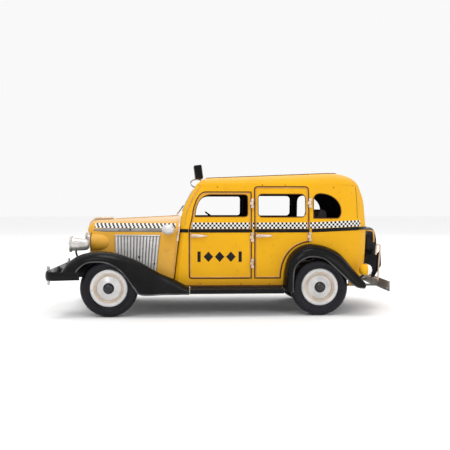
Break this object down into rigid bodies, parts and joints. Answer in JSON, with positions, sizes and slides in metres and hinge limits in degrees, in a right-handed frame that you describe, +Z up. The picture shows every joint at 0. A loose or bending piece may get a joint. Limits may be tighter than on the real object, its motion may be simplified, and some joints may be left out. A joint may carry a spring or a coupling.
{
  "type": "friction tin car",
  "caption": "Pressed-tin toy taxi sedan with a flywheel friction drive, hinged doors, open windows, separate fenders, running boards, lamps, bumpers, roof sign and a spare wheel.",
  "frame": {"origin": "on the ground under the middle of the car's length and width", "axes": "-X is the nose, +X the tail, -Y the car's left side, +Z up"},
  "size_m": [0.32, 0.132, 0.1434],
  "materials": {
    "yellow_paint": "satin, aged",
    "black_paint": "satin",
    "plated": "worn plating",
    "steel": "satin",
    "tyre": "matte",
    "brass": "aged",
    "seat_trim": "matte",
    "lamp": "satin, white lens"
  },
  "bodies": {
    "car": {"chassis": "black_paint", "cowl": "yellow_paint", "roof_panel": "yellow_paint", "back_panel": "yellow_paint", "side_panel_left": "yellow_paint", "side_panel_right": "yellow_paint", "hood": "yellow_paint", "louvre_panel_left": "plated", "louvre_panel_right": "plated", "radiator_shell": "yellow_paint", "hood_strip": "plated", "headlamp_left": "plated", "headlamp_right": "plated", "cowl_lamp_left": "plated", "cowl_lamp_right": "plated", "front_fender_left": "black_paint", "front_fender_right": "black_paint", "rear_fender_left": "black_paint", "rear_fender_right": "black_paint", "running_board_left": "black_paint", "running_board_right": "black_paint", "front_bumper": "black_paint", "rear_bumper": "plated", "front_seat": "seat_trim", "rear_seat": "seat_trim", "front_hinge_pin_left": "plated", "front_hinge_pin_right": "plated", "rear_hinge_pin_left": "plated", "rear_hinge_pin_right": "plated", "motor_frame": "steel", "roof_sign": "black_paint", "sign_bracket": "steel", "spare_tyre": "tyre", "spare_disc": "plated", "luggage_rack": "black_paint", "rack_hoop": "plated", "tail_lamp_left": "lamp", "tail_lamp_right": "lamp"},
    "front_wheels": {"front_axle": "steel", "front_tyre_left": "tyre", "front_tyre_right": "tyre", "front_wheel_disc_left": "plated", "front_wheel_disc_right": "plated"},
    "rear_wheels": {"rear_axle": "steel", "rear_tyre_left": "tyre", "rear_tyre_right": "tyre", "rear_wheel_disc_left": "plated", "rear_wheel_disc_right": "plated", "drive_gear": "brass"},
    "idler": {"idler_gear": "brass"},
    "flywheel": {"flywheel": "steel"},
    "door_front_left": {"front_door_left": "yellow_paint", "front_door_handle_left": "plated"},
    "door_front_right": {"front_door_right": "yellow_paint", "front_door_handle_right": "plated"},
    "door_rear_left": {"rear_door_left": "yellow_paint", "rear_door_handle_left": "plated"},
    "door_rear_right": {"rear_door_right": "yellow_paint", "rear_door_handle_right": "plated"},
    "steering": {"steering_wheel": "seat_trim"}
  },
  "joints": [
    {"name": "front_axle_spin", "type": "hinge", "parent": "car", "child": "front_wheels", "pos_m": [-0.1016, 0, 0.0265], "axis": [0, 1, 0], "continuous": true},
    {"name": "rear_axle_spin", "type": "hinge", "parent": "car", "child": "rear_wheels", "pos_m": [0.0925, 0, 0.0265], "axis": [0, 1, 0], "continuous": true},
    {"name": "idler_spin", "type": "hinge", "parent": "car", "child": "idler", "pos_m": [0.08082, 0, 0.03122], "axis": [0, 1, 0], "continuous": true},
    {"name": "flywheel_spin", "type": "hinge", "parent": "car", "child": "flywheel", "pos_m": [0.06923, 0, 0.03285], "axis": [0, 1, 0], "continuous": true},
    {"name": "front_left_door_swing", "type": "hinge", "parent": "car", "child": "door_front_left", "pos_m": [0.0303, -0.05045, 0.075], "axis": [0, 0, 1], "range_deg": [0, 70]},
    {"name": "front_right_door_swing", "type": "hinge", "parent": "car", "child": "door_front_right", "pos_m": [0.0303, 0.05045, 0.075], "axis": [0, 0, -1], "range_deg": [0, 70]},
    {"name": "rear_left_door_swing", "type": "hinge", "parent": "car", "child": "door_rear_left", "pos_m": [0.0845, -0.05045, 0.089], "axis": [0, 0, 1], "range_deg": [0, 60]},
    {"name": "rear_right_door_swing", "type": "hinge", "parent": "car", "child": "door_rear_right", "pos_m": [0.0845, 0.05045, 0.089], "axis": [0, 0, -1], "range_deg": [0, 60]},
    {"name": "steering_turn", "type": "hinge", "parent": "car", "child": "steering", "pos_m": [-0.0052, -0.021, 0.0904], "axis": [0.5807, 0, 0.8141], "continuous": true}
  ],
  "couplings": [
    {"joint": "idler_spin", "follows": "rear_axle_spin", "ratio": -2.5},
    {"joint": "flywheel_spin", "follows": "rear_axle_spin", "ratio": 5.625}
  ]
}
